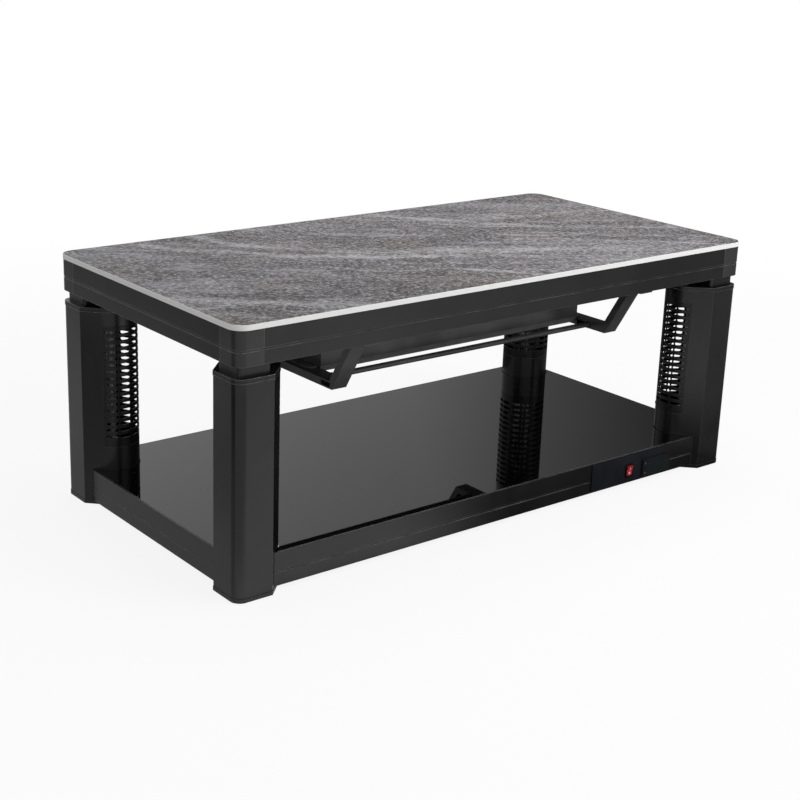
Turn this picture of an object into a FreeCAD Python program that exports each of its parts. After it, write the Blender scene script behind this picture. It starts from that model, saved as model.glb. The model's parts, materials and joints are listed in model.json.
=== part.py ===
import FreeCAD, Part
import math
import os

# Electrically heated low table: stone top, black frame, slotted heater legs, glass shelf.
# Millimetres. +Z is up, the front (control side) faces -Y, the long side runs along X.
# The origin is the middle of the footprint on the floor.

# Overall sizes
table_length = 1200.0
table_width = 600.0
table_height = 470.0

# General clearances
fit_gap = 0.3
hole_gap = 0.1
pin_gap = 0.05
cut_extra = 1.0

# Top slab and the board behind it
slab_thick = 9.0
slab_corner_r = 28.0
slab_edge_chamfer = 0.8
board_thick = 12.0

# Shared rail profile
rail_depth = 25.0
rail_wall = 2.5
groove_from_bottom = 23.5
groove_high = 3.5
groove_deep = 1.2

# Top frame
apron_inset = 3.0
apron_high = 59.5
apron_corner_len = 50.0
apron_corner_r = 18.0
corner_plate_thick = 6.0
spigot_len = 20.0

# Base frame and shelf
base_inset = 14.0
base_bottom = 10.0
base_top = 70.0
shelf_thick = 6.0
shelf_lip = 3.0
shelf_leg_gap = 1.2

# Legs, in leg coordinates: p and q run inwards from the two outer faces
leg_inset = 4.0
post_side = 70.0
post_corner_r = 18.0
leg_wall = 2.0
column_centre = 64.0
column_r = 50.0
foot_pad_thick = 2.0
foot_pad_r = 30.0
foot_top = 9.0
cap_thick = 8.0
cap_overhang = 0.8
plug_deep = 8.0
plug_wall = 2.0
neck_high = 19.5
neck_from_face = 9.0
neck_side = 61.0
neck_wall = 4.0
neck_corner_r = 5.0

# Slotted guard of the heater column
window_bottom = 116.0
window_below_cap = 26.0
guard_tab_high = 10.0
slot_long = 22.0
slot_high = 6.0
slot_pitch = 12.5
slot_first_up = 20.5
slot_last_down = 8.0
slot_bridge = 3.0
slot_span_deg = 144.0
inward_deg = 45.0
guard_screw_up = 6.0
guard_seat_cut = 0.7

# Heater inside each leg
tube_r = 5.0
holder_r = 9.0
holder_high = 14.0
socket_deep = 10.0
reflector_r = 30.0
reflector_sheet = 1.5
reflector_beyond = 14.0
stay_wide = 12.0
stay_high = 24.0
stay_bite = 5.0

# Leg bolts
leg_bolt_at = 40.0
leg_bolt_r = 4.0
leg_bolt_head_r = 6.5
leg_bolt_head_high = 5.0
leg_nut_high = 6.5
leg_bolt_end = 3.0

# Heater cradle below the top
hanger_from_end = 253.0
hanger_wide = 31.0
hanger_thick = 14.0
hanger_wall = 2.0
hanger_drop = 102.0
hanger_run = 60.0
hanger_foot_from_end = 26.0
hanger_flange_thick = 4.0
hanger_flange_long = 46.0
hanger_flange_from_face = 5.0
hanger_slot_long = 26.0
hanger_slot_high = 8.0
hanger_slot_from_corner = 6.0
hanger_window_from_corner = 64.0
rod_r = 5.2
rod_from_corner = 46.0
rod_up = 7.5
rod_collar_r = 6.3
rod_collar_len = 4.0
tray_from_corner = 76.0
tray_up = 5.0
tray_high = 36.0
tray_lip_high = 12.5
tray_lip_lean = 7.0
tray_sheet = 1.5
tray_end_gap = 1.0
tray_flange_reach = 20.0
tray_flange_thick = 2.0
tray_corner_r = 10.0
plate_margin = 12.0
plate_thick = 10.0

# Small screws
screw_r = 1.6
screw_head_r = 3.2
screw_head_high = 1.6
screw_long = 7.0
flange_screw_spread = 9.0
flange_screw_from_end = 9.0

# Controls on the front base rail
panel_from_leg = 80.0
panel_wide = 222.0
panel_margin = 2.0
panel_thick = 2.0
panel_corner_r = 2.0
switch_from_left = 103.0
switch_up = 27.0
switch_bezel_wide = 19.0
switch_bezel_high = 26.0
switch_bezel_thick = 2.5
switch_body_wide = 17.6
switch_body_high = 23.5
switch_body_deep = 26.0
rocker_wide = 13.4
rocker_r = 10.0
rocker_pivot_in = 1.0
rocker_back = 6.0
rocker_face_out = 1.4
rocker_v_deg = 8.0
rocker_tilt_deg = 9.0
rocker_pin_r = 1.5
rocker_pin_long = 1.2
thermo_from_right = 43.0
thermo_up = 23.5
thermo_bezel_wide = 78.0
thermo_bezel_high = 36.0
thermo_bezel_thick = 4.0
thermo_corner_r = 2.5
thermo_body_wide = 71.0
thermo_body_high = 29.0
thermo_body_deep = 50.0
window_shift_x = 3.0
window_wide = 54.0
window_high = 27.0
window_thick = 1.5
button_from_left = 6.0
button_spread = 10.0
button_r = 2.0
button_long = 4.5
button_out = 1.0
button_pocket = 6.0

# Box for the wiring behind the controls
box_beyond_panel = 6.0
box_deep = 86.0
box_margin = 4.0
box_wall = 2.0
gland_from_left = 82.0
gland_hole_r = 6.0
gland_flange_r = 9.0
gland_flange_thick = 3.0
gland_bore_r = 3.5
gland_inner_len = 8.0

# Derived positions
slab_bottom = table_height - slab_thick
apron_bottom = slab_bottom - apron_high
half_length = table_length / 2
half_width = table_width / 2
leg_x = half_length - leg_inset
leg_y = half_width - leg_inset
apron_x = half_length - apron_inset
apron_y = half_width - apron_inset
base_x = half_length - base_inset
base_y = half_width - base_inset
shelf_bottom = base_top - shelf_thick
cap_top = apron_bottom - neck_high
cap_bottom = cap_top - cap_thick
window_top = cap_bottom - window_below_cap
slot_first_z = window_bottom + slot_first_up
slot_rows = 1 + int((window_top - slot_last_down - slot_first_z) / slot_pitch)
slot_steps = int(math.radians(slot_span_deg) * column_r / (slot_long + slot_bridge))
reflector_bottom = window_bottom - reflector_beyond
reflector_top = window_top + reflector_beyond
reflector_plate_top = reflector_bottom + reflector_sheet
hanger_x_inner = half_length - hanger_from_end - hanger_wide
hanger_bottom = apron_bottom - hanger_drop
hanger_flange_out = apron_y - hanger_flange_from_face
hanger_flange_in = hanger_flange_out - hanger_flange_long
flange_screw_y = hanger_flange_out - flange_screw_from_end
hanger_corner_y = hanger_flange_out - hanger_foot_from_end - hanger_run
hanger_window_y = hanger_corner_y - hanger_window_from_corner
rod_y = hanger_corner_y - rod_from_corner
rod_z = hanger_bottom + rod_up
tray_half_depth = hanger_corner_y - tray_from_corner
tray_bottom = hanger_bottom + tray_up
tray_top = tray_bottom + tray_high
panel_face_y = -(base_y + panel_thick)
panel_x_right = leg_x - post_side - panel_from_leg
panel_x_left = panel_x_right - panel_wide
panel_z_low = base_bottom + panel_margin
panel_z_high = base_top - panel_margin
switch_x = panel_x_left + switch_from_left
switch_z = base_bottom + switch_up
thermo_x = panel_x_right - thermo_from_right
thermo_z = base_bottom + thermo_up
box_x_left = panel_x_left - box_beyond_panel
box_x_right = panel_x_right + box_beyond_panel
box_z_low = base_bottom + box_margin
box_z_high = shelf_bottom - box_margin
gland_x = box_x_left + gland_from_left


def vec(x, y, z):
    return FreeCAD.Vector(x, y, z)


def box(x0, y0, z0, x1, y1, z1):
    return Part.makeBox(x1 - x0, y1 - y0, z1 - z0, vec(x0, y0, z0))


def cylinder(radius, x, y, z0, z1):
    return Part.makeCylinder(radius, z1 - z0, vec(x, y, z0), vec(0, 0, 1))


def cylinder_y(radius, x, y0, y1, z):
    return Part.makeCylinder(radius, y1 - y0, vec(x, y0, z), vec(0, 1, 0))


def cylinder_x(radius, x0, x1, y, z):
    return Part.makeCylinder(radius, x1 - x0, vec(x0, y, z), vec(1, 0, 0))


def prism(points, along):
    face = Part.Face(Part.makePolygon(points + [points[0]]))
    return face.extrude(along)


def fillet_edges(shape, radius, wanted):
    edges = [e for e in shape.Edges if wanted(e)]
    return shape.makeFillet(radius, edges)


def is_upright(edge):
    a = edge.Vertexes[0].Point
    b = edge.Vertexes[-1].Point
    flat = math.hypot(a.x - b.x, a.y - b.y)
    return flat < fit_gap and abs(a.z - b.z) > fit_gap


def rounded_block(x0, y0, z0, x1, y1, z1, radius):
    return fillet_edges(box(x0, y0, z0, x1, y1, z1), radius, is_upright)


def rounded_panel(x0, z0, x1, z1, y0, y1, radius):
    # A plate that stands in the XZ plane with rounded corners
    def along_y(edge):
        a = edge.Vertexes[0].Point
        b = edge.Vertexes[-1].Point
        return math.hypot(a.x - b.x, a.z - b.z) < fit_gap
    return fillet_edges(box(x0, y0, z0, x1, y1, z1), radius, along_y)


def hexagon(circum_r, x, y, z0, z1):
    sides = 6
    turn = 2 * math.pi / sides
    points = []
    for i in range(sides):
        points.append(vec(x + circum_r * math.cos(i * turn), y + circum_r * math.sin(i * turn), z0))
    return prism(points, vec(0, 0, z1 - z0))


def four_ways(shape):
    # The front left piece and its three mirror images
    across = shape.mirror(vec(0, 0, 0), vec(1, 0, 0))
    back = shape.mirror(vec(0, 0, 0), vec(0, 1, 0))
    both = across.mirror(vec(0, 0, 0), vec(0, 1, 0))
    return {"front_left": shape, "front_right": across, "back_left": back, "back_right": both}


def at_leg(shape):
    # Leg coordinates to the front left leg's place
    moved = shape.copy()
    moved.translate(vec(-leg_x, -leg_y, 0))
    return moved


def cheek_turn():
    # The way a leg's flat cheek faces: from the end of an outer face it runs tangent into the column
    away = math.hypot(post_side - column_centre, column_centre)
    return math.atan2(-column_centre, post_side - column_centre) + math.acos(column_r / away)


def leg_outline(grow, z0, z1):
    # The leg's plan: a rounded outer corner, two outer faces, two cheeks and the round column
    lo = -grow
    bend = post_corner_r
    corner = post_corner_r + grow
    radius = column_r + grow
    face_x = math.cos(cheek_turn())
    face_y = math.sin(cheek_turn())
    end = (column_centre * (face_x + face_y) + radius - face_y * lo) / face_x
    tx = column_centre + radius * face_x
    ty = column_centre + radius * face_y
    slant = math.cos(math.radians(inward_deg))
    near = bend - corner * slant
    far = column_centre + radius * slant
    edges = [
        Part.makeLine(vec(bend, lo, z0), vec(end, lo, z0)),
        Part.makeLine(vec(end, lo, z0), vec(tx, ty, z0)),
        Part.Arc(vec(tx, ty, z0), vec(far, far, z0), vec(ty, tx, z0)).toShape(),
        Part.makeLine(vec(ty, tx, z0), vec(lo, end, z0)),
        Part.makeLine(vec(lo, end, z0), vec(lo, bend, z0)),
        Part.Arc(vec(lo, bend, z0), vec(near, near, z0), vec(bend, lo, z0)).toShape(),
    ]
    return Part.Face(Part.Wire(edges)).extrude(vec(0, 0, z1 - z0))


def inner_half(shape, set_back):
    # What lies on the inward side of the column's axis
    side = table_height
    half = box(set_back, -side, 0, side, side, side)
    half.rotate(vec(0, 0, 0), vec(0, 0, 1), inward_deg)
    half.translate(vec(column_centre, column_centre, 0))
    return shape.common(half)


def ring(inner_r, outer_r, z0, z1):
    outer = cylinder(outer_r, column_centre, column_centre, z0, z1)
    return outer.cut(cylinder(inner_r, column_centre, column_centre, z0, z1))


# Top slab and backing board

def make_slab():
    slab = rounded_block(-half_length, -half_width, slab_bottom, half_length, half_width,
                         table_height, slab_corner_r)

    def top_rim(edge):
        return all(abs(v.Point.z - table_height) < fit_gap for v in edge.Vertexes)
    rim = [e for e in slab.Edges if top_rim(e)]
    return slab.makeChamfer(slab_edge_chamfer, rim)


def make_board():
    bx = apron_x - rail_depth
    by = apron_y - rail_depth
    return box(-bx, -by, slab_bottom - board_thick, bx, by, slab_bottom)


# Top frame

def flange_screw_spots():
    spots = []
    for sx in (-1, 1):
        for sy in (-1, 1):
            for side in (-1, 1):
                mid = hanger_x_inner + hanger_wide / 2
                spots.append((sx * mid + side * flange_screw_spread, sy * flange_screw_y))
    return spots


def make_long_apron():
    # The front rail, an extruded tube with a groove along its outer face
    x1 = apron_x - apron_corner_len
    y0 = -apron_y
    y1 = y0 + rail_depth
    rail = box(-x1, y0, apron_bottom, x1, y1, slab_bottom)
    rail = rail.cut(box(-x1, y0 + rail_wall, apron_bottom + rail_wall,
                        x1, y1 - rail_wall, slab_bottom - rail_wall))
    g0 = apron_bottom + groove_from_bottom
    rail = rail.cut(box(-x1, y0, g0, x1, y0 + groove_deep, g0 + groove_high))
    for x, y in flange_screw_spots():
        rail = rail.cut(cylinder(screw_r + pin_gap, x, y, apron_bottom, apron_bottom + rail_wall))
    return rail


def make_short_apron():
    # The left rail, cut from the same tube
    y1 = apron_y - apron_corner_len
    x0 = -apron_x
    x1 = x0 + rail_depth
    rail = box(x0, -y1, apron_bottom, x1, y1, slab_bottom)
    rail = rail.cut(box(x0 + rail_wall, -y1, apron_bottom + rail_wall,
                        x1 - rail_wall, y1, slab_bottom - rail_wall))
    g0 = apron_bottom + groove_from_bottom
    return rail.cut(box(x0, -y1, g0, x0 + groove_deep, y1, g0 + groove_high))


def corner_outline(inset, z0, z1):
    # Plan of the front left corner piece, with its outer corner rounded
    x0 = -apron_x + inset
    y0 = -apron_y + inset
    x1 = -apron_x + apron_corner_len
    y1 = -apron_y + apron_corner_len
    block = box(x0, y0, z0, x1, y1, z1)

    def outer_corner(edge):
        a = edge.Vertexes[0].Point
        return is_upright(edge) and math.hypot(a.x - x0, a.y - y0) < fit_gap
    return fillet_edges(block, apron_corner_r - inset, outer_corner)


def make_apron_corner():
    # The front left corner piece with its bolt plate and two spigots
    body = corner_outline(0, apron_bottom, slab_bottom)
    g0 = apron_bottom + groove_from_bottom
    g1 = g0 + groove_high
    body = body.cut(corner_outline(0, g0, g1).cut(corner_outline(groove_deep, g0, g1)))
    x1 = -apron_x + apron_corner_len
    y1 = -apron_y + apron_corner_len
    xi = -apron_x + rail_depth
    yi = -apron_y + rail_depth
    body = body.cut(box(xi, yi, apron_bottom + corner_plate_thick, x1, y1, slab_bottom))
    body = body.cut(cylinder(leg_bolt_r + hole_gap, leg_bolt_at - leg_x, leg_bolt_at - leg_y,
                             apron_bottom, apron_bottom + corner_plate_thick))
    z0 = apron_bottom + rail_wall + fit_gap
    z1 = slab_bottom - rail_wall - fit_gap
    lo = rail_wall + fit_gap
    hi = rail_depth - rail_wall - fit_gap
    along_x = box(x1, -apron_y + lo, z0, x1 + spigot_len, -apron_y + hi, z1)
    along_y = box(-apron_x + lo, y1, z0, -apron_x + hi, y1 + spigot_len, z1)
    return body.fuse([along_x, along_y]).removeSplitter()


# Base frame and shelf

def cope_legs(rail):
    # Rail ends are cut to the flat cheeks of the legs they meet, and clear their round columns
    plan = leg_outline(0, 0, table_height)
    column = cylinder(column_r + fit_gap, column_centre, column_centre, 0, table_height)
    for tool in (plan, column):
        for piece in four_ways(at_leg(tool)).values():
            rail = rail.cut(piece)
    return rail


def make_long_base():
    x1 = leg_x - post_side
    y0 = -base_y
    y1 = y0 + rail_depth
    rail = box(-x1, y0, base_bottom, x1, y1, base_top)
    rail = rail.cut(box(-x1, y0 + shelf_lip, shelf_bottom, x1, y1, base_top))
    rail = rail.cut(box(-x1, y0 + rail_wall, base_bottom + rail_wall,
                        x1, y1 - rail_wall, shelf_bottom - rail_wall))
    g0 = base_bottom + groove_from_bottom
    rail = rail.cut(box(-x1, y0, g0, x1, y0 + groove_deep, g0 + groove_high))
    return cope_legs(rail)


def make_front_base():
    rail = make_long_base()
    y0 = -base_y
    y1 = y0 + rail_depth
    return rail.cut([switch_cutout(y0, y1), thermo_cutout(y0, y1)])


def make_short_base():
    y1 = leg_y - post_side
    x0 = -base_x
    x1 = x0 + rail_depth
    rail = box(x0, -y1, base_bottom, x1, y1, base_top)
    rail = rail.cut(box(x0 + shelf_lip, -y1, shelf_bottom, x1, y1, base_top))
    rail = rail.cut(box(x0 + rail_wall, -y1, base_bottom + rail_wall,
                        x1 - rail_wall, y1, shelf_bottom - rail_wall))
    g0 = base_bottom + groove_from_bottom
    rail = rail.cut(box(x0, -y1, g0, x0 + groove_deep, y1, g0 + groove_high))
    return cope_legs(rail)


def make_shelf():
    sx = base_x - shelf_lip - fit_gap
    sy = base_y - shelf_lip - fit_gap
    glass = box(-sx, -sy, shelf_bottom, sx, sy, base_top)
    notch = at_leg(leg_outline(shelf_leg_gap, shelf_bottom, base_top))
    for piece in four_ways(notch).values():
        glass = glass.cut(piece)
    return glass


# Legs

def make_post():
    # Hollow shell: its inner, round side is open between the bottom and the top of the window
    shell = leg_outline(0, foot_top, cap_bottom).cut(leg_outline(-leg_wall, foot_top, cap_bottom))
    window = cylinder(column_r + cut_extra, column_centre, column_centre, window_bottom, window_top)
    return shell.cut(inner_half(window, 0))


def slot_cutter():
    # One rounded slot, pointing outwards along +X from the column's axis
    half = (slot_long - slot_high) / 2
    r0 = column_r - 2 * leg_wall - cut_extra
    r1 = column_r + cut_extra
    middle = box(r0, -half, -slot_high / 2, r1, half, slot_high / 2)
    end_a = cylinder_x(slot_high / 2, r0, r1, -half, 0)
    end_b = cylinder_x(slot_high / 2, r0, r1, half, 0)
    return middle.fuse([end_a, end_b]).removeSplitter()


def slot_tools():
    base = slot_cutter()
    tools = []
    for column in range(slot_steps + 1):
        deg = inward_deg + slot_span_deg * (column / slot_steps - 0.5)
        for row in range(slot_rows):
            cutter = base.copy()
            cutter.rotate(vec(0, 0, 0), vec(0, 0, 1), deg)
            lift = slot_first_z + row * slot_pitch
            cutter.translate(vec(column_centre, column_centre, lift))
            tools.append(cutter)
    return Part.makeCompound(tools)


def guard_screw_axis(shape_r, r0, r1):
    # A cylinder along the inward diagonal, between two distances from the column's axis
    ux = math.cos(math.radians(inward_deg))
    uy = math.sin(math.radians(inward_deg))
    z = window_bottom + guard_screw_up
    start = vec(column_centre + r0 * ux, column_centre + r0 * uy, z)
    return Part.makeCylinder(shape_r, r1 - r0, start, vec(ux, uy, 0))


def make_guard():
    # Slotted cover that fills the window, with a hidden tab behind each edge of it
    r_in = column_r - leg_wall
    tab_in = r_in - leg_wall - fit_gap
    cover = ring(r_in, column_r, window_bottom, window_top - fit_gap)
    low = ring(tab_in, r_in - fit_gap, window_bottom - guard_tab_high, window_bottom + guard_tab_high)
    low_root = ring(tab_in, r_in, window_bottom, window_bottom + guard_tab_high)
    high = ring(tab_in, r_in - fit_gap, window_top - guard_tab_high, window_top + guard_tab_high)
    high_root = ring(tab_in, r_in, window_top - guard_tab_high, window_top - fit_gap)
    guard = cover.fuse([low, low_root, high, high_root]).removeSplitter()
    guard = inner_half(guard, fit_gap)
    guard = guard.cut(slot_tools())
    guard = guard.cut(guard_screw_axis(screw_head_r + hole_gap, column_r - guard_seat_cut,
                                       column_r + cut_extra))
    return guard.cut(guard_screw_axis(screw_r + pin_gap, tab_in - cut_extra, column_r))


def make_guard_screw():
    seat = column_r - guard_seat_cut
    head = guard_screw_axis(screw_head_r, seat, seat + screw_head_high)
    shank = guard_screw_axis(screw_r, seat - screw_long, seat)
    return head.fuse(shank)


def plug(z0, z1):
    outer = leg_outline(-leg_wall - fit_gap, z0, z1)
    return outer.cut(leg_outline(-leg_wall - fit_gap - plug_wall, z0, z1))


def make_cap():
    cap = leg_outline(cap_overhang, cap_bottom, cap_top)
    cap = cap.fuse(plug(cap_bottom - plug_deep, cap_bottom)).removeSplitter()
    return cap.cut(cylinder(leg_bolt_r + hole_gap, leg_bolt_at, leg_bolt_at, cap_bottom, cap_top))


def make_foot():
    foot = leg_outline(cap_overhang, foot_pad_thick, foot_top)
    return foot.fuse(plug(foot_top, foot_top + plug_deep)).removeSplitter()


def make_pad():
    middle = (post_side + column_centre) / 2 - post_corner_r
    return cylinder(foot_pad_r, middle, middle, 0, foot_pad_thick)


def make_neck():
    a = neck_from_face
    b = a + neck_side
    outer = rounded_block(a, a, cap_top, b, b, apron_bottom, neck_corner_r)
    inner = box(a + neck_wall, a + neck_wall, cap_top, b - neck_wall, b - neck_wall, apron_bottom)
    return outer.cut(inner)


def make_leg_bolt():
    top = apron_bottom + corner_plate_thick
    low = cap_bottom - leg_nut_high - leg_bolt_end
    shank = cylinder(leg_bolt_r, leg_bolt_at, leg_bolt_at, low, top)
    head = hexagon(leg_bolt_head_r, leg_bolt_at, leg_bolt_at, top, top + leg_bolt_head_high)
    return shank.fuse(head)


def make_leg_nut():
    nut = hexagon(leg_bolt_head_r, leg_bolt_at, leg_bolt_at, cap_bottom - leg_nut_high, cap_bottom)
    return nut.cut(cylinder(leg_bolt_r + pin_gap, leg_bolt_at, leg_bolt_at,
                            cap_bottom - leg_nut_high, cap_bottom))


# Heater inside a leg

def make_reflector():
    # Half-round polished sheet on the outer side of the tube, with end plates and two stays
    shell = ring(reflector_r - reflector_sheet, reflector_r, reflector_bottom, reflector_top)
    far = 2 * reflector_r
    cutter = box(0, -far, reflector_bottom, far, far, reflector_top)
    cutter.rotate(vec(0, 0, 0), vec(0, 0, 1), inward_deg)
    cutter.translate(vec(column_centre, column_centre, 0))
    shell = shell.cut(cutter)
    floor = cylinder(reflector_r, column_centre, column_centre, reflector_bottom, reflector_plate_top)
    roof = cylinder(reflector_r, column_centre, column_centre,
                    reflector_top - reflector_sheet, reflector_top)
    near = column_centre - stay_wide
    reach = column_centre - reflector_r + reflector_sheet
    mid = (reflector_bottom + reflector_top) / 2
    z0 = mid - stay_high / 2
    z1 = mid + stay_high / 2
    stay_p = box(leg_wall, near, z0, reach + stay_bite, column_centre, z1)
    stay_q = box(near, leg_wall, z0, column_centre, reach + stay_bite, z1)
    bore = cylinder(reflector_r - reflector_sheet, column_centre, column_centre, z0, z1)
    stays = stay_p.fuse(stay_q).cut(bore)
    return shell.fuse([floor, roof, stays]).removeSplitter()


def make_holders():
    low0 = reflector_plate_top
    low1 = low0 + holder_high
    low = cylinder(holder_r, column_centre, column_centre, low0, low1)
    low = low.cut(cylinder(tube_r + fit_gap, column_centre, column_centre, low1 - socket_deep, low1))
    high1 = reflector_top - reflector_sheet
    high0 = high1 - holder_high
    high = cylinder(holder_r, column_centre, column_centre, high0, high1)
    high = high.cut(cylinder(tube_r + fit_gap, column_centre, column_centre, high0,
                             high0 + socket_deep))
    return [low, high]


def make_tube():
    z0 = reflector_plate_top + holder_high - socket_deep
    z1 = reflector_top - reflector_sheet - holder_high + socket_deep
    return cylinder(tube_r, column_centre, column_centre, z0, z1)


# Heater cradle below the top

def hanger_band(inset, side_inset):
    # Side view of the bent tube, offset inwards by inset, drawn across the hanger's width
    slope = math.atan2(hanger_drop, hanger_run)
    miter = math.tan(slope / 2)
    lean = hanger_run / hanger_drop
    z_low = hanger_bottom + inset
    z_high = hanger_bottom + hanger_thick - inset
    y_low = hanger_corner_y - inset * miter
    y_high = hanger_corner_y - (hanger_thick - inset) * miter
    z_end = apron_bottom - hanger_flange_thick
    y_low_end = y_low + (z_end - z_low) * lean
    y_high_end = y_high + (z_end - z_high) * lean
    x0 = hanger_x_inner + side_inset
    outline = [(-y_low_end, z_end), (-y_low, z_low), (y_low, z_low), (y_low_end, z_end),
               (y_high_end, z_end), (y_high, z_high), (-y_high, z_high), (-y_high_end, z_end)]
    points = [vec(x0, y, z) for y, z in outline]
    return prism(points, vec(hanger_wide - 2 * side_inset, 0, 0))


def make_hanger():
    # The right hanger
    tube = hanger_band(0, 0).cut(hanger_band(hanger_wall, hanger_wall))
    x0 = hanger_x_inner
    x1 = x0 + hanger_wide
    z1 = apron_bottom
    z0 = z1 - hanger_flange_thick
    flange_f = box(x0, -hanger_flange_out, z0, x1, -hanger_flange_in, z1)
    flange_b = box(x0, hanger_flange_in, z0, x1, hanger_flange_out, z1)
    hanger = tube.fuse([flange_f, flange_b]).removeSplitter()
    for x, y in flange_screw_spots():
        hanger = hanger.cut(cylinder(screw_r + pin_gap, x, y, z0, z1))
    s0 = hanger_bottom + (hanger_thick - hanger_slot_high) / 2
    s1 = s0 + hanger_slot_high
    bend = hanger_corner_y - hanger_slot_from_corner
    for sy in (-1, 1):
        ends = sorted((sy * bend, sy * (bend - hanger_slot_long)))
        hanger = hanger.cut(box(x1 - hanger_wall, ends[0], s0, x1, ends[1], s1))
        ends = (sy * hanger_window_y - hanger_slot_long / 2, sy * hanger_window_y + hanger_slot_long / 2)
        hanger = hanger.cut(box(x0, ends[0], s0, x0 + hanger_wall, ends[1], s1))
    return hanger


def make_rod(side):
    x1 = hanger_x_inner
    rod = cylinder_x(rod_r, -x1, x1, side * rod_y, rod_z)
    left = cylinder_x(rod_collar_r, -x1, rod_collar_len - x1, side * rod_y, rod_z)
    right = cylinder_x(rod_collar_r, x1 - rod_collar_len, x1, side * rod_y, rod_z)
    return rod.fuse([left, right]).removeSplitter()


def tray_block(x1, y1, z1):
    # The tray's section, with a lip at the foot of each long wall that leans inwards
    z_bend = tray_bottom + tray_lip_high
    y0 = y1 - tray_lip_lean
    outline = [(-y1, z1), (-y1, z_bend), (-y0, tray_bottom), (y0, tray_bottom), (y1, z_bend), (y1, z1)]
    points = [vec(-x1, y, z) for y, z in outline]
    return prism(points, vec(2 * x1, 0, 0))


def make_tray():
    # Downward open tray whose end flanges lie on the hangers
    x1 = hanger_x_inner - tray_end_gap
    xf = hanger_x_inner + tray_flange_reach
    y1 = tray_half_depth
    yf = y1 - tray_lip_lean
    z_seat = hanger_bottom + hanger_thick
    flange = rounded_block(-xf, -yf, z_seat, xf, yf, z_seat + tray_flange_thick, tray_corner_r)
    body = tray_block(x1, y1, tray_top).fuse(flange)
    inside = tray_block(x1 - tray_sheet, y1 - tray_sheet, tray_top - tray_sheet)
    return body.cut(inside).removeSplitter()


def make_radiant_plate():
    x1 = hanger_x_inner - tray_end_gap - plate_margin
    y1 = tray_half_depth - plate_margin
    z1 = tray_top - tray_sheet
    return rounded_block(-x1, -y1, z1 - plate_thick, x1, y1, z1, tray_corner_r)


def make_flange_screws():
    screws = []
    z_seat = apron_bottom - hanger_flange_thick
    for x, y in flange_screw_spots():
        head = cylinder(screw_head_r, x, y, z_seat - screw_head_high, z_seat)
        shank = cylinder(screw_r, x, y, z_seat, z_seat + screw_long)
        screws.append(head.fuse(shank))
    return screws


# Controls

def switch_cutout(y0, y1):
    a = switch_body_wide / 2 + fit_gap
    b = switch_body_high / 2 + fit_gap
    return box(switch_x - a, y0, switch_z - b, switch_x + a, y1, switch_z + b)


def thermo_cutout(y0, y1):
    a = thermo_body_wide / 2 + fit_gap
    b = thermo_body_high / 2 + fit_gap
    return box(thermo_x - a, y0, thermo_z - b, thermo_x + a, y1, thermo_z + b)


def make_panel():
    plate = rounded_panel(panel_x_left, panel_z_low, panel_x_right, panel_z_high,
                          panel_face_y, -base_y, panel_corner_r)
    return plate.cut([switch_cutout(panel_face_y, -base_y), thermo_cutout(panel_face_y, -base_y)])


def rocker_axis_y():
    return panel_face_y - switch_bezel_thick + rocker_pivot_in


def make_switch_housing():
    front = panel_face_y - switch_bezel_thick
    a = switch_bezel_wide / 2
    b = switch_bezel_high / 2
    bezel = rounded_panel(switch_x - a, switch_z - b, switch_x + a, switch_z + b,
                          front, panel_face_y, panel_corner_r)
    a = switch_body_wide / 2
    b = switch_body_high / 2
    body = box(switch_x - a, panel_face_y, switch_z - b,
               switch_x + a, panel_face_y + switch_body_deep, switch_z + b)
    housing = bezel.fuse(body).removeSplitter()
    half = rocker_wide / 2 + fit_gap
    y = rocker_axis_y()
    hole_r = rocker_r + fit_gap
    well = cylinder_x(hole_r, switch_x - half, switch_x + half, y, switch_z)
    mouth = box(switch_x - half, front, switch_z - hole_r, switch_x + half, y, switch_z + hole_r)
    pins = half + rocker_pin_long
    sockets = cylinder_x(rocker_pin_r + pin_gap, switch_x - pins, switch_x + pins, y, switch_z)
    return housing.cut([well, mouth, sockets])


def make_rocker():
    # Both ends lie on one circle about the pivot, so the rocker clears its well at any tilt
    y = rocker_axis_y()
    half = rocker_wide / 2
    reach = rocker_r + cut_extra
    rise = reach * math.tan(math.radians(rocker_v_deg))
    outline = [(rocker_back, -reach), (rocker_back, reach), (-rocker_face_out - rise, reach),
               (-rocker_face_out, 0), (-rocker_face_out - rise, -reach)]
    points = [vec(switch_x - half, y + dy, switch_z + dz) for dy, dz in outline]
    body = prism(points, vec(rocker_wide, 0, 0))
    body = body.common(cylinder_x(rocker_r, switch_x - half, switch_x + half, y, switch_z))
    pins = half + rocker_pin_long
    rocker = body.fuse(cylinder_x(rocker_pin_r, switch_x - pins, switch_x + pins, y, switch_z))
    rocker = rocker.removeSplitter()
    rocker.rotate(vec(switch_x, y, switch_z), vec(1, 0, 0), rocker_tilt_deg)
    return rocker


def button_spots():
    x = thermo_x - thermo_bezel_wide / 2 + button_from_left
    return {"up": (x, thermo_z + button_spread), "down": (x, thermo_z - button_spread)}


def make_thermostat():
    front = panel_face_y - thermo_bezel_thick
    a = thermo_bezel_wide / 2
    b = thermo_bezel_high / 2
    bezel = rounded_panel(thermo_x - a, thermo_z - b, thermo_x + a, thermo_z + b,
                          front, panel_face_y, thermo_corner_r)
    a = thermo_body_wide / 2
    b = thermo_body_high / 2
    body = box(thermo_x - a, panel_face_y, thermo_z - b,
               thermo_x + a, panel_face_y + thermo_body_deep, thermo_z + b)
    unit = bezel.fuse(body).removeSplitter()
    unit = unit.cut(window_block(front, front + window_thick))
    for x, z in button_spots().values():
        unit = unit.cut(cylinder_y(button_r + hole_gap, x, front, front + button_pocket, z))
    return unit


def window_block(y0, y1):
    x = thermo_x + window_shift_x
    return box(x - window_wide / 2, y0, thermo_z - window_high / 2,
               x + window_wide / 2, y1, thermo_z + window_high / 2)


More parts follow.
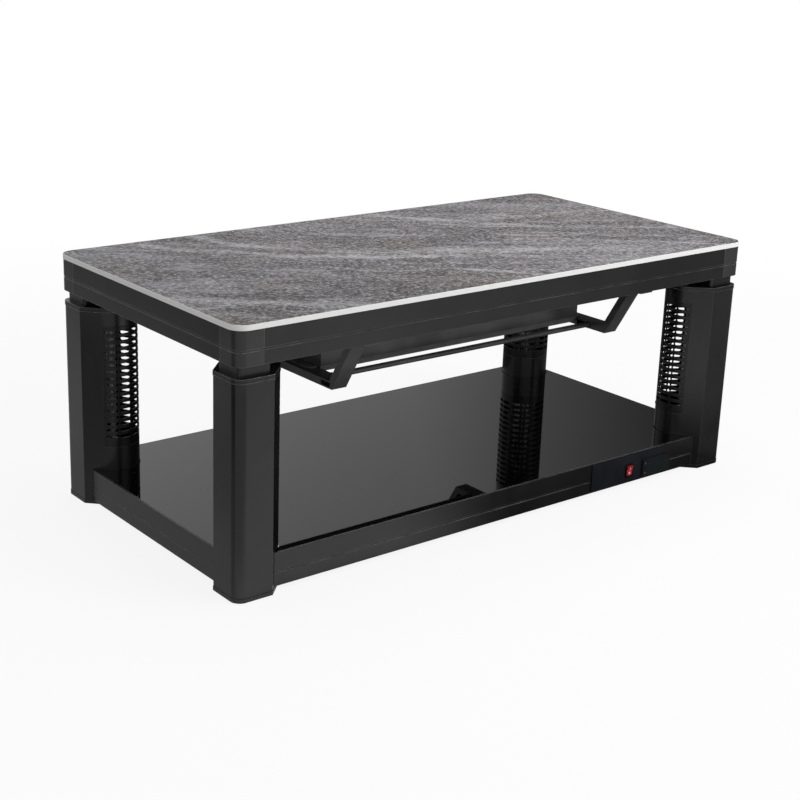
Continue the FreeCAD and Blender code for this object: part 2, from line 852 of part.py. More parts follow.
def make_window():
    front = panel_face_y - thermo_bezel_thick
    return window_block(front, front + window_thick)


def make_button(name):
    x, z = button_spots()[name]
    front = panel_face_y - thermo_bezel_thick - button_out
    return cylinder_y(button_r, x, front, front + button_long, z)


def make_control_box():
    # Open towards the rail, which closes it
    y0 = -base_y + rail_depth
    y1 = y0 + box_deep
    t = box_wall
    case = box(box_x_left, y0, box_z_low, box_x_right, y1, box_z_high)
    case = case.cut(box(box_x_left + t, y0, box_z_low + t, box_x_right - t, y1 - t, box_z_high - t))
    mid = (box_z_low + box_z_high) / 2
    return case.cut(cylinder_y(gland_hole_r + hole_gap, gland_x, y1 - t, y1, mid))


def make_gland():
    y1 = -base_y + rail_depth + box_deep
    mid = (box_z_low + box_z_high) / 2
    sleeve = cylinder_y(gland_hole_r, gland_x, y1 - gland_inner_len, y1, mid)
    flange = cylinder_y(gland_flange_r, gland_x, y1, y1 + gland_flange_thick, mid)
    gland = sleeve.fuse(flange).removeSplitter()
    bore = cylinder_y(gland_bore_r, gland_x, y1 - gland_inner_len, y1 + gland_flange_thick, mid)
    return gland.cut(bore)


def build():
    parts = {"table_top_slab": make_slab(), "backing_board": make_board()}
    front = make_long_apron()
    parts["apron_rail_front"] = front
    parts["apron_rail_back"] = front.mirror(vec(0, 0, 0), vec(0, 1, 0))
    left = make_short_apron()
    parts["apron_rail_left"] = left
    parts["apron_rail_right"] = left.mirror(vec(0, 0, 0), vec(1, 0, 0))
    parts["base_rail_front"] = make_front_base()
    parts["base_rail_back"] = make_long_base().mirror(vec(0, 0, 0), vec(0, 1, 0))
    left = make_short_base()
    parts["base_rail_left"] = left
    parts["base_rail_right"] = left.mirror(vec(0, 0, 0), vec(1, 0, 0))
    parts["shelf_glass"] = make_shelf()
    singles = {"leg_post": make_post(), "leg_guard": make_guard(), "leg_cap": make_cap(),
               "leg_foot": make_foot(), "neck_block": make_neck(), "heater_tube": make_tube()}
    for name, shape in singles.items():
        for place, piece in four_ways(at_leg(shape)).items():
            parts[name + "_" + place] = piece
    for place, piece in four_ways(make_apron_corner()).items():
        parts["apron_corner_" + place] = piece
    groups = {"leg_reflectors": [make_reflector()], "tube_holders": make_holders(),
              "foot_pads": [make_pad()], "leg_bolts": [make_leg_bolt()], "leg_nuts": [make_leg_nut()],
              "guard_screws": [make_guard_screw()]}
    for name, shapes in groups.items():
        solids = []
        for shape in shapes:
            solids += list(four_ways(at_leg(shape)).values())
        parts[name] = Part.makeCompound(solids)
    right = make_hanger()
    parts["hanger_right"] = right
    parts["hanger_left"] = right.mirror(vec(0, 0, 0), vec(1, 0, 0))
    parts["cradle_rods"] = Part.makeCompound([make_rod(-1), make_rod(1)])
    parts["heater_tray"] = make_tray()
    parts["radiant_plate"] = make_radiant_plate()
    parts["hanger_screws"] = Part.makeCompound(make_flange_screws())
    parts["control_panel"] = make_panel()
    parts["switch_housing"] = make_switch_housing()
    parts["switch_rocker"] = make_rocker()
    parts["thermostat_unit"] = make_thermostat()
    parts["display_window"] = make_window()
    parts["thermostat_button_up"] = make_button("up")
    parts["thermostat_button_down"] = make_button("down")
    parts["control_box"] = make_control_box()
    parts["cord_gland"] = make_gland()
    return parts


os.makedirs("parts", exist_ok=True)
for node, shape in build().items():
    shape.exportStep("parts/" + node + ".step")
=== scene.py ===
import json
import math

import bpy
from mathutils import Matrix, Vector


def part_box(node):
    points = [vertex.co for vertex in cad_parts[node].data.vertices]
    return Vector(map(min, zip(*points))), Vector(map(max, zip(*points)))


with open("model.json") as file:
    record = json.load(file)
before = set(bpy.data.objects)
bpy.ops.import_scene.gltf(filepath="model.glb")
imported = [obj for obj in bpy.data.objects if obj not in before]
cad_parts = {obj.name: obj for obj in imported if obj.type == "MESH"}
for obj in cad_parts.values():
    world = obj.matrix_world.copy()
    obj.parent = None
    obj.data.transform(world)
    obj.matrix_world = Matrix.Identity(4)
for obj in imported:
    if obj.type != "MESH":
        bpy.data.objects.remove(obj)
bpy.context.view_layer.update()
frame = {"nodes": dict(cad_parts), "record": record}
NODES = frame["nodes"]

scene = bpy.context.scene
scene.view_settings.view_transform = "Standard"

# Camera, at the photograph's viewing angle: place and clipping in metres, angles in degrees, focal
# length and shift in widths of the picture, sensor in millimetres
PHOTO_WIDTH = 800
CAM_PLACE = (-1.79678, -2.14917, 1.08892)
CAM_AZIMUTH = -37.8317
CAM_ELEVATION = 16.8625
CAM_ROLL = 1.6072
CAM_FOCAL = 1499.46 / PHOTO_WIDTH
CAM_SHIFT = 0.05
SENSOR = 36.0
CLIP_NEAR, CLIP_FAR = 0.01, 100


def make_camera():
    data = bpy.data.cameras.new("camera")
    data.sensor_width = SENSOR
    data.lens = CAM_FOCAL * SENSOR
    data.shift_x = CAM_SHIFT
    data.shift_y = -CAM_SHIFT
    data.clip_start = CLIP_NEAR
    data.clip_end = CLIP_FAR
    camera = bpy.data.objects.new("camera", data)
    scene.collection.objects.link(camera)
    turn = (Matrix.Rotation(math.radians(CAM_AZIMUTH), 4, "Z")
            @ Matrix.Rotation(math.radians(90 - CAM_ELEVATION), 4, "X")
            @ Matrix.Rotation(math.radians(CAM_ROLL), 4, "Z"))
    camera.matrix_world = Matrix.Translation(CAM_PLACE) @ turn
    scene.camera = camera


# Node helpers

# Materials by the name asked for, because Blender may add a number to it
MATERIALS = {}


class Nodes:
    """Builds one material's node tree; values that are sockets are linked, others are set."""

    def __init__(self, name):
        self.mat = bpy.data.materials.new(name)
        MATERIALS[name] = self.mat
        self.mat.use_nodes = True
        self.tree = self.mat.node_tree
        self.tree.nodes.clear()
        self.out = self.tree.nodes.new("ShaderNodeOutputMaterial")

    def put(self, node, key, value):
        """Links or sets one input; a colour of three numbers is opaque."""
        socket = node.inputs[key]
        if isinstance(value, bpy.types.NodeSocket):
            self.tree.links.new(value, socket)
        else:
            if socket.type == "RGBA" and len(value) == 3:
                value = (*value, 1.0)
            socket.default_value = value

    def add(self, kind, props=None, **inputs):
        """Adds a shader node; an underscore in an input's name stands for a space."""
        node = self.tree.nodes.new("ShaderNode" + kind)
        for key, value in (props or {}).items():
            setattr(node, key, value)
        for key, value in inputs.items():
            self.put(node, key.replace("_", " "), value)
        return node

    def math(self, op, a, b=0.0, clamp=False):
        """Result of one operation on one or two values."""
        node = self.add("Math", {"operation": op, "use_clamp": clamp})
        for i, value in enumerate((a, b)):
            self.put(node, i, value)
        return node.outputs[0]

    def length(self, a, b):
        """Length of the vector (a, b)."""
        return self.math("SQRT", self.math("ADD", self.math("MULTIPLY", a, a),
                                           self.math("MULTIPLY", b, b)))

    def coords(self):
        return self.add("TexCoord").outputs["Object"]

    def axes(self, vector):
        return self.add("SeparateXYZ", Vector=vector).outputs

    def scaled(self, vector, scale, turn=0.0, offset=(0, 0, 0)):
        """A vector scaled, turned about Z and moved."""
        node = self.add("Mapping", Vector=vector, Scale=scale, Location=offset)
        node.inputs["Rotation"].default_value = (0, 0, turn)
        return node.outputs[0]

    def noise(self, vector, scale, detail=3.0, rough=0.5, distortion=0.0):
        node = self.add("TexNoise", Vector=vector, Scale=scale, Detail=detail, Roughness=rough,
                        Distortion=distortion)
        return node.outputs["Fac"]

    def spread(self, value, low, high, to_low=0.0, to_high=1.0):
        """Smooth step of a value from low to high, onto to_low to to_high."""
        node = self.add("MapRange", {"interpolation_type": "SMOOTHSTEP"}, Value=value,
                        From_Min=low, From_Max=high, To_Min=to_low, To_Max=to_high)
        return node.outputs[0]

    def mix(self, share, a, b, blend="MIX"):
        """Colour a with a share of colour b blended in."""
        node = self.add("Mix", {"data_type": "RGBA", "blend_type": blend})
        self.put(node, 0, share)
        self.put(node, 6, a)
        self.put(node, 7, b)
        return node.outputs[2]

    def bump(self, height, strength, distance, normal=None):
        """Normal of a face with fine relief."""
        node = self.add("Bump", Height=height, Strength=strength, Distance=distance)
        if normal is not None:
            self.put(node, "Normal", normal)
        return node.outputs[0]

    def edge_normal(self, radius):
        """Normal with the edges rounded by a radius."""
        return self.add("Bevel", {"samples": 4}, Radius=radius).outputs[0]

    def edge_mask(self, rounded):
        """1 on sharp edges, 0 on flat and gently curved faces."""
        flat = self.add("NewGeometry").outputs["Normal"]
        node = self.add("VectorMath", {"operation": "DOT_PRODUCT"})
        self.put(node, 0, rounded)
        self.put(node, 1, flat)
        return self.spread(self.math("SUBTRACT", 1.0, node.outputs["Value"]), 0.03, 0.25)

    def curve(self, value, points):
        """Height of a smooth line through points, both from 0 to 1."""
        node = self.add("FloatCurve", Value=value)
        line = node.mapping.curves[0]
        line.points[0].location = points[0]
        line.points[1].location = points[-1]
        for x, y in points[1:-1]:
            line.points.new(x, y)
        node.mapping.update()
        return node.outputs[0]

    def surface(self, **inputs):
        """Ends the tree in one principled surface."""
        node = self.add("BsdfPrincipled", **inputs)
        self.tree.links.new(node.outputs[0], self.out.inputs[0])


def grey(v):
    return (v, v, v, 1.0)


def times(tone, k, plus=0.0):
    """A tone made k times as bright, and lightened by plus."""
    return tuple(c * k + plus for c in tone)


# Materials

def powder_coat(name, tone, rough, gloss=0.5, edge=0.0012, edge_wear_and_highlight=0.16, band=None):
    """Satin powder coat: fine orange peel, slight mottling, dust, and lighter edges that are
    partly handled wear and partly a painted highlight.

    A band is (height, tone): below that height the sheet is lighter, as painted light on a lip
    that faces down into shade.
    """
    n = Nodes(name)
    co = n.coords()
    peel = n.noise(co, 700.0, 2.0)
    mottle = n.noise(co, 9.0, 4.0, 0.6)
    dust = n.noise(co, 300.0, 3.0, 0.7)
    rub = n.noise(n.scaled(co, (1.0, 1.0, 0.25)), 24.0, 5.0, 0.7)
    rounded = n.edge_normal(edge)
    colour = n.mix(n.spread(mottle, 0.3, 0.7), times(tone, 0.7), times(tone, 1.4, 0.0005))
    near_floor = n.spread(n.axes(co)["Z"], 0.0, 0.16, 0.5, 0.12)
    speck = n.math("MULTIPLY", n.spread(dust, 0.66, 0.78), near_floor)
    colour = n.mix(speck, colour, times(tone, 3.0, 0.03))
    if band is not None:
        height, lit_lip_grey = band
        # Below the band's height: a lighter grey, painted light on the shaded lip
        below = n.spread(n.axes(co)["Z"], height - 0.0006, height + 0.0006, 1.0, 0.0)
        colour = n.mix(below, colour, n.mix(n.spread(rub, 0.3, 0.7), grey(0.8 * lit_lip_grey), grey(lit_lip_grey)))
    # Edges lightened: partly rubbed wear, partly a painted highlight
    worn_and_highlit = n.math("MULTIPLY", n.edge_mask(rounded), n.spread(rub, 0.30, 0.6, 0.2, 1.0))
    colour = n.mix(worn_and_highlit, colour, grey(edge_wear_and_highlight))
    roughness = n.spread(rub, 0.35, 0.75, rough - 0.02, rough + 0.03)
    n.surface(Base_Color=colour, Roughness=roughness, Specular_IOR_Level=gloss,
              Normal=n.bump(peel, 0.05, 0.0002, rounded))


def moulded_plastic(name, tone, rough, grain=0.2, gloss=0.5, edge_wear_and_highlight=0.06, edge=0.0006):
    """Fine spark-eroded texture of a moulded part, with lighter edges that are partly handled wear
    and partly a painted highlight.
    """
    n = Nodes(name)
    co = n.coords()
    fine = n.noise(co, 1400.0, 2.0)
    broad = n.noise(co, 14.0, 3.0)
    rounded = n.edge_normal(edge)
    rub = n.noise(n.scaled(co, (1.0, 1.0, 0.5)), 60.0, 4.0, 0.7)
    colour = n.mix(n.spread(broad, 0.3, 0.7), times(tone, 0.8), times(tone, 1.2))
    # Edges lightened: partly rubbed wear, partly a painted highlight
    worn_and_highlit = n.math("MULTIPLY", n.edge_mask(rounded), n.spread(rub, 0.35, 0.6, 0.3, 0.9))
    colour = n.mix(worn_and_highlit, colour, times(tone, 1.5, edge_wear_and_highlight))
    roughness = n.spread(broad, 0.2, 0.8, rough - 0.05, rough + 0.05)
    n.surface(Base_Color=colour, Roughness=roughness, Specular_IOR_Level=gloss,
              Normal=n.bump(fine, grain, 0.0001, rounded))


def metal(name, tone, rough, scale=(1.0, 1.0, 1.0)):
    """Bare metal, finely streaked along the axis whose scale is smallest."""
    n = Nodes(name)
    co = n.coords()
    streak = n.noise(n.scaled(co, scale), 500.0, 3.0, 0.6)
    cloud = n.noise(co, 20.0, 4.0)
    colour = n.mix(n.spread(cloud, 0.3, 0.7), times(tone, 0.85), tone)
    roughness = n.spread(streak, 0.3, 0.7, rough - 0.06, rough + 0.08)
    normal = n.bump(streak, 0.12, 0.0001, n.edge_normal(0.0004))
    n.surface(Base_Color=colour, Roughness=roughness, Metallic=1.0, Normal=normal)


def black_glass(name):
    """Black glass with a faint film of smudges, a few settled specks and a ground edge that is
    lighter partly from its grinding and partly as a painted highlight.
    """
    n = Nodes(name)
    co = n.coords()
    smudge = n.noise(co, 5.0, 5.0, 0.65)
    swirl = n.noise(n.scaled(co, (1.0, 6.0, 1.0), 0.5), 12.0, 4.0, 0.6)
    mask = n.spread(n.noise(co, 150.0, 1.0), 0.77, 0.80)
    rounded = n.edge_normal(0.0008)
    colour = n.mix(mask, grey(0.0015), grey(0.05))
    # Ground edge lightened, partly its own frosted tone and partly a painted highlight
    colour = n.mix(n.edge_mask(rounded), colour, grey(0.30))
    film = n.math("MULTIPLY", n.spread(smudge, 0.45, 0.75), n.spread(swirl, 0.4, 0.8))
    roughness = n.math("ADD", n.math("MULTIPLY", film, 0.06), 0.02)
    roughness = n.math("MAXIMUM", roughness, n.math("MULTIPLY", mask, 0.6))
    n.surface(Base_Color=colour, Roughness=roughness, Normal=rounded)


# The stone's veins: places in metres on the top, half width, strength. The turn is their main
# direction, the span the length in metres over which each is drawn.
VEINS = [
    ([(-0.446, 0.285), (-0.392, 0.200), (-0.331, 0.146), (-0.262, 0.054), (-0.169, 0.004),
      (-0.077, -0.054), (0.02, -0.10)], 0.017, 0.85),
    ([(-0.315, 0.277), (-0.285, 0.180), (-0.200, 0.085), (-0.100, 0.008), (0.054, -0.069),
      (0.177, -0.138), (0.300, -0.192)], 0.020, 0.75),
    ([(0.108, 0.269), (0.200, 0.160), (0.285, 0.069), (0.385, -0.015), (0.454, -0.054),
      (0.585, -0.123)], 0.016, 0.65),
    ([(0.300, 0.150), (0.400, 0.105), (0.492, 0.108), (0.590, 0.070)], 0.018, 0.55),
    ([(-0.600, -0.092), (-0.485, -0.200), (-0.346, -0.292)], 0.024, 0.65),
    ([(-0.246, -0.040), (-0.169, -0.131), (-0.046, -0.185), (0.054, -0.292)], 0.005, 0.85),
    ([(0.200, -0.040), (0.323, -0.115), (0.431, -0.200), (0.546, -0.292)], 0.010, 0.60),
    ([(-0.600, -0.220), (-0.520, -0.290)], 0.010, 0.45),
]
VEIN_TURN = math.radians(-35)
VEIN_SPAN = 1.4
CLOUD_DARK, CLOUD_LIGHT = (0.080, 0.074, 0.076), (0.225, 0.217, 0.230)
WARM_PATCH = (0.135, 0.106, 0.097)
STREAK_TONE = (0.33, 0.325, 0.34)
VEIN_TONE = (0.43, 0.425, 0.44)
GRAIN_PALE, GRAIN_DARK = (0.64, 0.63, 0.65), (0.030, 0.028, 0.030)
EDGE_WHITE = (0.74, 0.74, 0.73)


def vein_mask(n, along, across, warp, places, half_width, strength):
    """Strength of one wandering vein, drawn as height over its length, 0 away from it."""
    c, s = math.cos(VEIN_TURN), math.sin(VEIN_TURN)
    line = [((x * c + y * s) / VEIN_SPAN + 0.5, (y * c - x * s) / VEIN_SPAN + 0.5)
            for x, y in places]
    first, last = line[0][0], line[-1][0]
    line = [(0.0, line[0][1])] + line + [(1.0, line[-1][1])]
    share = n.math("ADD", n.math("MULTIPLY", along, 1 / VEIN_SPAN), 0.5)
    height = n.math("MULTIPLY", n.math("SUBTRACT", n.curve(share, line), 0.5), VEIN_SPAN)
    away = n.math("ABSOLUTE", n.math("SUBTRACT", n.math("ADD", across, warp), height))
    core = n.spread(away, 0.15 * half_width, 1.3 * half_width, strength, 0.0)
    fade_in = n.spread(share, first - 0.03, first + 0.01)
    fade_out = n.spread(share, last - 0.01, last + 0.03, 1.0, 0.0)
    return n.math("MULTIPLY", core, n.math("MULTIPLY", fade_in, fade_out))


def stone(name):
    """Printed stone: coarse grain, dark clouds, warm patches, pale ragged veins, a white edge."""
    n = Nodes(name)
    co = n.coords()
    turned = n.scaled(co, (1.0, 1.0, 1.0), -VEIN_TURN)
    along, across = n.axes(turned)["X"], n.axes(turned)["Y"]
    wander = n.math("MULTIPLY", n.math("SUBTRACT", n.noise(co, 7.0, 5.0, 0.6), 0.5), 0.07)
    ragged = n.math("MULTIPLY", n.math("SUBTRACT", n.noise(co, 60.0, 4.0, 0.7), 0.5), 0.03)
    frayed = n.math("MULTIPLY", n.math("SUBTRACT", n.noise(co, 260.0, 2.0, 0.7), 0.5), 0.03)
    warp = n.math("ADD", n.math("ADD", wander, ragged), frayed)
    streak = n.noise(n.scaled(turned, (0.25, 1.0, 1.0)), 26.0, 6.0, 0.62, 0.6)
    cloud = n.noise(n.scaled(turned, (0.35, 1.0, 1.0)), 5.5, 5.0, 0.6, 0.4)
    warmth = n.noise(n.scaled(turned, (0.4, 1.0, 1.0), 0.0, (0.3, 0.1, 0.0)), 11.0, 4.0, 0.6)
    fine = n.noise(co, 560.0, 2.0, 0.7)
    coarse = n.noise(n.scaled(turned, (0.5, 1.0, 1.0)), 240.0, 2.0, 0.75)
    dash = n.noise(n.scaled(turned, (0.25, 1.0, 1.0)), 210.0, 2.0, 0.6)
    colour = n.mix(n.spread(cloud, 0.36, 0.64), CLOUD_DARK, CLOUD_LIGHT)
    colour = n.mix(n.spread(warmth, 0.48, 0.64, 0.0, 0.7), colour, WARM_PATCH)
    colour = n.mix(n.spread(streak, 0.50, 0.66, 0.0, 0.7), colour, STREAK_TONE)
    veins = None
    for places, half_width, strength in VEINS:
        mask = vein_mask(n, along, across, warp, places, half_width, strength)
        veins = mask if veins is None else n.math("MAXIMUM", veins, mask)
    veins = n.math("MULTIPLY", veins, n.spread(streak, 0.25, 0.6, 0.45, 1.0))
    colour = n.mix(veins, colour, VEIN_TONE)
    pale = n.math("MULTIPLY", n.spread(coarse, 0.47, 0.62), n.spread(fine, 0.46, 0.56, 0.10, 1.0))
    colour = n.mix(n.math("MULTIPLY", pale, 0.95), colour, GRAIN_PALE)
    dark = n.math("MAXIMUM", n.spread(coarse, 0.46, 0.38), n.spread(dash, 0.44, 0.37))
    dark = n.math("MULTIPLY", dark, n.spread(streak, 0.35, 0.60, 1.0, 0.6))
    colour = n.mix(n.math("MULTIPLY", dark, 0.90), colour, GRAIN_DARK)
    # The top is a little darker towards the left
    left = n.spread(n.axes(co)["X"], -0.60, 0.10, 0.78, 1.0)
    colour = n.mix(1.0, colour, n.mix(left, grey(0.0), grey(1.0)), "MULTIPLY")
    up = n.axes(n.add("NewGeometry").outputs["Normal"])["Z"]
    rounded = n.edge_normal(0.0008)
    colour = n.mix(n.spread(up, 0.9, 0.95), EDGE_WHITE, colour)
    normal = n.bump(coarse, 0.15, 0.0003, rounded)
    n.surface(Base_Color=colour, Roughness=0.6, Specular_IOR_Level=0.2, Normal=normal)


def black_board(name):
    """Blackened fibreboard."""
    n = Nodes(name)
    co = n.coords()
    fibre = n.noise(n.scaled(co, (0.3, 1.0, 1.0)), 240.0, 4.0, 0.7)
    cloud = n.noise(co, 12.0, 3.0)
    colour = n.mix(n.spread(fibre, 0.3, 0.7), (0.022, 0.022, 0.022), (0.034, 0.033, 0.032))
    colour = n.mix(n.spread(cloud, 0.3, 0.7, 0.0, 0.3), colour, (0.048, 0.046, 0.044))
    n.surface(Base_Color=colour, Roughness=0.75, Specular_IOR_Level=0.2,
              Normal=n.bump(fibre, 0.3, 0.0004))


# Marks on the rocker, in metres: a line's half width and the bar's half length, each from full to
# faded, and the ring's radius
MARK_LINE = (0.0003, 0.0005)
MARK_BAR = (0.0020, 0.0022)
MARK_RING = 0.0018


def lit_red(name, middle, half_wide, half_high):
    """Red rocker with the glow of its lamp in the middle, a bar and a ring for on and off."""
    n = Nodes(name)
    co = n.coords()
    axes = n.axes(co)
    haze = n.noise(co, 160.0, 2.0)
    right = n.math("SUBTRACT", axes["X"], middle[0])
    above = n.math("SUBTRACT", axes["Z"], middle[2])
    away = n.length(n.math("DIVIDE", right, half_wide), n.math("DIVIDE", above, half_high))
    core = n.math("ADD", n.spread(away, 0.25, 0.95, 1.0, 0.0), n.math("MULTIPLY", haze, 0.15),
                  clamp=True)
    colour = n.mix(core, (0.26, 0.010, 0.014), (0.33, 0.022, 0.030))
    glow = n.mix(core, (0.26, 0.008, 0.015), (0.40, 0.06, 0.07))
    up = n.math("ABSOLUTE", n.math("SUBTRACT", above, 0.5 * half_high))
    bar = n.math("MULTIPLY", n.spread(n.math("ABSOLUTE", right), *MARK_LINE, 1.0, 0.0),
                 n.spread(up, *MARK_BAR, 1.0, 0.0))
    below = n.math("ADD", above, 0.5 * half_high)
    round_off = n.math("SUBTRACT", n.length(right, below), MARK_RING)
    ring = n.spread(n.math("ABSOLUTE", round_off), *MARK_LINE, 1.0, 0.0)
    colour = n.mix(n.math("MAXIMUM", bar, ring), colour, (0.80, 0.72, 0.70))
    n.surface(Base_Color=colour, Roughness=0.22, Emission_Color=glow, Emission_Strength=0.15,
              Normal=n.bump(haze, 0.05, 0.0001, n.edge_normal(0.0005)))


def smoked_window(name):
    """Dark window of a display that is off."""
    n = Nodes(name)
    haze = n.noise(n.coords(), 90.0, 3.0)
    colour = n.mix(haze, (0.0085, 0.0115, 0.0125), (0.0115, 0.0150, 0.0160))
    roughness = n.spread(haze, 0.3, 0.7, 0.06, 0.14)
    n.surface(Base_Color=colour, Roughness=roughness, Specular_IOR_Level=0.08)


def quartz(name):
    """Milky quartz tube."""
    n = Nodes(name)
    haze = n.noise(n.coords(), 60.0, 2.0)
    colour = n.mix(haze, (0.70, 0.66, 0.60), (0.82, 0.80, 0.76))
    roughness = n.spread(haze, 0.2, 0.8, 0.08, 0.16)
    n.surface(Base_Color=colour, Roughness=roughness, Transmission_Weight=0.6)


# The tray's lip: its height in metres and its grey, lightened as painted light
TRAY_LIP, LIP_GREY = 0.0125, 0.115
PAINT_BLACK = (0.0042, 0.0042, 0.0044)
CAP_BLACK = (0.0045, 0.0045, 0.0047)
# Nodes whose material isn't the one of their slot
OWN_MATERIAL = {"heater_tray": "tray_paint"}
for corner in ("front_left", "front_right", "back_left", "back_right"):
    OWN_MATERIAL["leg_foot_" + corner] = "foot_plastic"


def make_materials():
    """Makes one material per slot, and the tray's and the feet's own ones."""
    low, high = (Vector(end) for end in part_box("switch_rocker"))
    rocker_middle = (low + high) / 2
    rocker_half = (high - low) / 2
    tray_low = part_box("heater_tray")[0][2]
    stone("stone_top")
    black_board("board_wood")
    # The lighter edge tone given to each material below is partly wear and partly a painted
    # highlight, strongest on the caps and the frame
    powder_coat("frame_paint", PAINT_BLACK, 0.30, edge=0.0018, edge_wear_and_highlight=0.15)
    powder_coat("leg_paint", PAINT_BLACK, 0.27)
    # The guards' paint is darker than the legs' as painted shade
    powder_coat("guard_paint", (0.0032, 0.0032, 0.0034), 0.30, 0.38, edge_wear_and_highlight=0.03)
    moulded_plastic("corner_plastic", (0.0210, 0.0210, 0.0213), 0.32, edge=0.0016, edge_wear_and_highlight=0.24)
    moulded_plastic("cap_plastic", CAP_BLACK, 0.34, edge=0.0016, edge_wear_and_highlight=0.45)
    moulded_plastic("foot_plastic", CAP_BLACK, 0.34, edge=0.0010, edge_wear_and_highlight=0.06)
    black_glass("black_glass")
    quartz("tube_glass")
    metal("reflector_metal", (0.60, 0.60, 0.60), 0.25, (1.0, 1.0, 0.05))
    moulded_plastic("holder_ceramic", (0.72, 0.70, 0.65), 0.6)
    moulded_plastic("pad_rubber", (0.02, 0.02, 0.02), 0.8, 0.4, edge_wear_and_highlight=0.02)
    metal("bolt_steel", (0.50, 0.50, 0.49), 0.35)
    metal("screw_steel", (0.02, 0.02, 0.021), 0.4)
    powder_coat("cradle_paint", (0.0400, 0.0400, 0.0402), 0.30, edge_wear_and_highlight=0.12)
    powder_coat("tray_paint", (0.0560, 0.0560, 0.0562), 0.30, edge=0.0005, edge_wear_and_highlight=0.05,
                band=(tray_low + TRAY_LIP, LIP_GREY))
    metal("plate_metal", (0.45, 0.45, 0.45), 0.45, (0.05, 1.0, 1.0))
    moulded_plastic("panel_plastic", (0.0082, 0.0088, 0.0118), 0.42, gloss=0.2, edge_wear_and_highlight=0.004)
    moulded_plastic("switch_plastic", (0.0040, 0.0040, 0.0046), 0.35, gloss=0.2, edge_wear_and_highlight=0.01)
    lit_red("rocker_red", rocker_middle, rocker_half.x, rocker_half.z)
    moulded_plastic("thermostat_plastic", (0.0078, 0.0080, 0.0095), 0.38, gloss=0.2, edge_wear_and_highlight=0.03)
    smoked_window("window_plastic")
    moulded_plastic("button_plastic", (0.05, 0.05, 0.055), 0.4)


def dress_nodes():
    """Gives each node its material."""
    make_materials()
    for part in frame["record"]["subparts"]:
        node = part["node"]
        obj = NODES[node]
        obj.data.materials.clear()
        obj.data.materials.append(MATERIALS[OWN_MATERIAL.get(node, part["material_slot"])])


# Studio

# The floor's side in metres
FLOOR_SIZE = 40.0
# Direction over the floor from the front left to the back right
DIAGONAL = (0.79, 0.61)
# Strength of the floor in mirrored rays: outside every zone, least and most
MIRROR_PLAIN, MIRROR_LEAST, MIRROR_MOST = 0.30, 0.06, 1.0


def mirrored_floor(n, axes):
    """Strength of the floor in mirrored rays, from soft zones of painted light and painted shadow
    around the table.
    """
    x, y = axes["X"], axes["Y"]
    diagonal = n.math("ADD", n.math("MULTIPLY", x, DIAGONAL[0]),
                      n.math("MULTIPLY", y, DIAGONAL[1]))
    # In front of the table: two painted pools of light
    nearest = n.spread(diagonal, -0.40, -0.16, 0.56, 0.0)
    farther = n.math("MULTIPLY", n.spread(diagonal, -0.05, 0.08, 0.20, 0.36),
                     n.spread(diagonal, 0.16, 0.32, 1.0, 0.0))
    painted_light_pool = n.math("ADD", nearest, farther)
    painted_light_pool = n.math("MULTIPLY", painted_light_pool, n.spread(diagonal, -0.95, -0.60, 0.35, 0.9))
    painted_light_pool = n.math("MULTIPLY", painted_light_pool, n.spread(y, -0.34, -0.25, 1.0, 0.0))
    # On its left: painted light in a strip beside it and on the floor further back, painted shade
    # on the floor far out
    left = n.math("ADD", n.spread(x, -0.85, -0.70, 0.0, 0.12), n.spread(y, 0.35, 0.75, 0.0, 0.16))
    left = n.math("ADD", left, n.spread(x, -1.42, -1.18, -0.30, 0.0))
    beside = n.math("MULTIPLY", n.spread(y, -0.42, -0.25), n.spread(x, -0.60, -0.50, 1.0, 0.0))
    left = n.math("MULTIPLY", beside, left)
    # From its middle to its right: painted shadow on the floor close to it and under it
    right = n.math("MULTIPLY", n.spread(x, -0.27, 0.27, 0.0, 0.60),
                   n.spread(x, 0.52, 0.66, 1.0, 0.3))
    right = n.math("MULTIPLY", n.spread(y, -0.62, -0.42), right)
    strength = n.math("ADD", n.math("ADD", painted_light_pool, left), MIRROR_PLAIN)
    strength = n.math("SUBTRACT", strength, right)
    return n.math("MINIMUM", n.math("MAXIMUM", strength, MIRROR_LEAST), MIRROR_MOST)


def make_floor():
    """White to the camera; in mirrored rays it has soft zones of painted light and painted shadow.
    """
    n = Nodes("floor")
    co = n.coords()
    axes = n.axes(co)
    colour = n.mix(n.noise(co, 3.0, 2.0), grey(0.80), grey(0.82))
    paint = n.add("BsdfDiffuse", Color=colour)
    path = n.add("LightPath").outputs
    away = n.length(axes["X"], axes["Y"])
    straight = n.math("MAXIMUM", path["Is Camera Ray"], path["Is Transmission Ray"])
    plain = n.math("MULTIPLY", straight, n.spread(away, 0.9, 2.6, 0.88, 1.0))
    missing = n.math("SUBTRACT", 1.0, mirrored_floor(n, axes))
    strength = n.math("SUBTRACT", 1.0, n.math("MULTIPLY", path["Is Glossy Ray"], missing))
    glow = n.add("Emission", Color=grey(1.0), Strength=strength)
    seen = n.math("MAXIMUM", plain, path["Is Glossy Ray"])
    mixed = n.add("MixShader")
    n.put(mixed, 0, seen)
    n.put(mixed, 1, paint.outputs[0])
    n.put(mixed, 2, glow.outputs[0])
    n.tree.links.new(mixed.outputs[0], n.out.inputs[0])
    bpy.ops.mesh.primitive_plane_add(size=FLOOR_SIZE, location=(0, 0, 0))
    floor = bpy.context.object
    floor.name = "floor"
    floor.data.materials.append(n.mat)


# The room in mirrored rays: X of a ray's direction and the grey there
ROOM_STOPS = ((0.35, 0.95), (0.61, 0.52), (0.66, 0.30), (0.73, 0.09))
# The room in all other rays
ROOM_LIGHT = 0.42


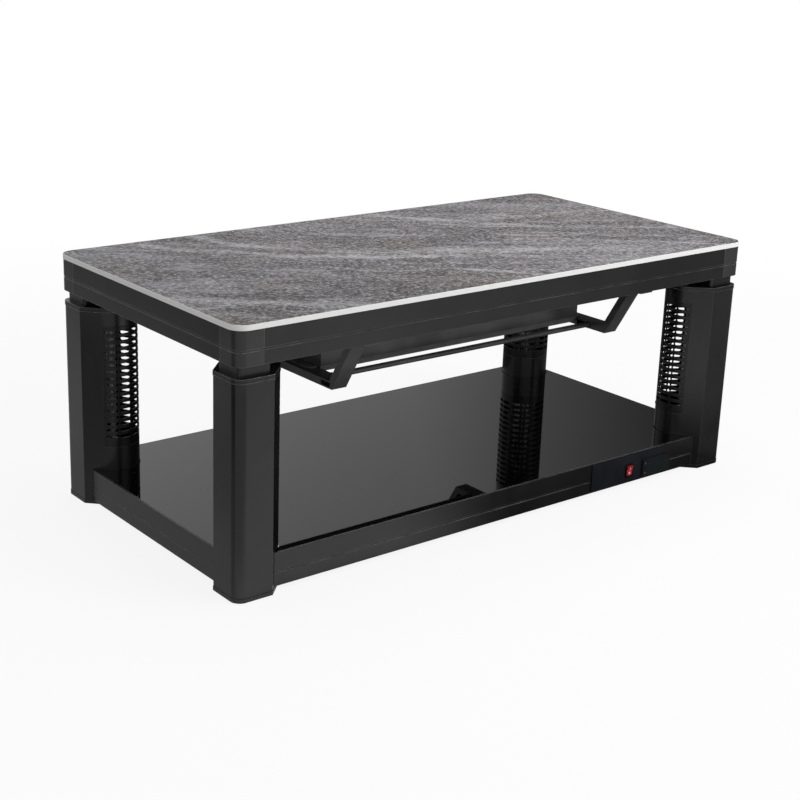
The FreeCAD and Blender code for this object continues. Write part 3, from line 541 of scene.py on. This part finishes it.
def make_world():
    """White to the camera, a soft grey room in reflections, plain grey light otherwise."""
    world = bpy.data.worlds.new("world")
    scene.world = world
    world.use_nodes = True
    tree = world.node_tree
    tree.nodes.clear()
    out = tree.nodes.new("ShaderNodeOutputWorld")
    path = tree.nodes.new("ShaderNodeLightPath").outputs
    way = tree.nodes.new("ShaderNodeSeparateXYZ")
    tree.links.new(tree.nodes.new("ShaderNodeTexCoord").outputs["Generated"], way.inputs[0])
    ramp = tree.nodes.new("ShaderNodeValToRGB")
    stops = ramp.color_ramp.elements
    for stop, (position, tone) in ((stops[0], ROOM_STOPS[0]), (stops[1], ROOM_STOPS[-1])):
        stop.position = position
        stop.color = grey(tone)
    for position, tone in ROOM_STOPS[1:-1]:
        stops.new(position).color = grey(tone)
    tree.links.new(way.outputs["X"], ramp.inputs[0])
    room = tree.nodes.new("ShaderNodeMix")
    room.data_type = "RGBA"
    room.inputs[6].default_value = grey(ROOM_LIGHT)
    tree.links.new(path["Is Glossy Ray"], room.inputs[0])
    tree.links.new(ramp.outputs[0], room.inputs[7])
    straight = tree.nodes.new("ShaderNodeMath")
    straight.operation = "MAXIMUM"
    tree.links.new(path["Is Camera Ray"], straight.inputs[0])
    tree.links.new(path["Is Transmission Ray"], straight.inputs[1])
    final = tree.nodes.new("ShaderNodeMix")
    final.data_type = "RGBA"
    final.inputs[7].default_value = grey(1.0)
    tree.links.new(straight.outputs[0], final.inputs[0])
    tree.links.new(room.outputs[2], final.inputs[6])
    light = tree.nodes.new("ShaderNodeBackground")
    tree.links.new(final.outputs[2], light.inputs[0])
    tree.links.new(light.outputs[0], out.inputs[0])


# Lamps: name, place, aim, size in metres, power in watts
LAMPS = (
    ("key", (1.3, -2.6, 1.9), (0, 0, 0.3), (2.2, 1.6), 62),
    ("over", (0.3, 0.2, 3.0), (0, 0, 0.4), (2.6, 1.8), 34),
)


def area_light(name, place, aim, size, power):
    data = bpy.data.lights.new(name, "AREA")
    data.shape = "RECTANGLE"
    data.size, data.size_y = size
    data.energy = power
    lamp = bpy.data.objects.new(name, data)
    scene.collection.objects.link(lamp)
    lamp.location = place
    lamp.visible_glossy = False
    lamp.rotation_euler = (Vector(aim) - Vector(place)).to_track_quat("-Z", "Y").to_euler()


make_camera()
make_world()
make_floor()
for lamp in LAMPS:
    area_light(*lamp)
dress_nodes()
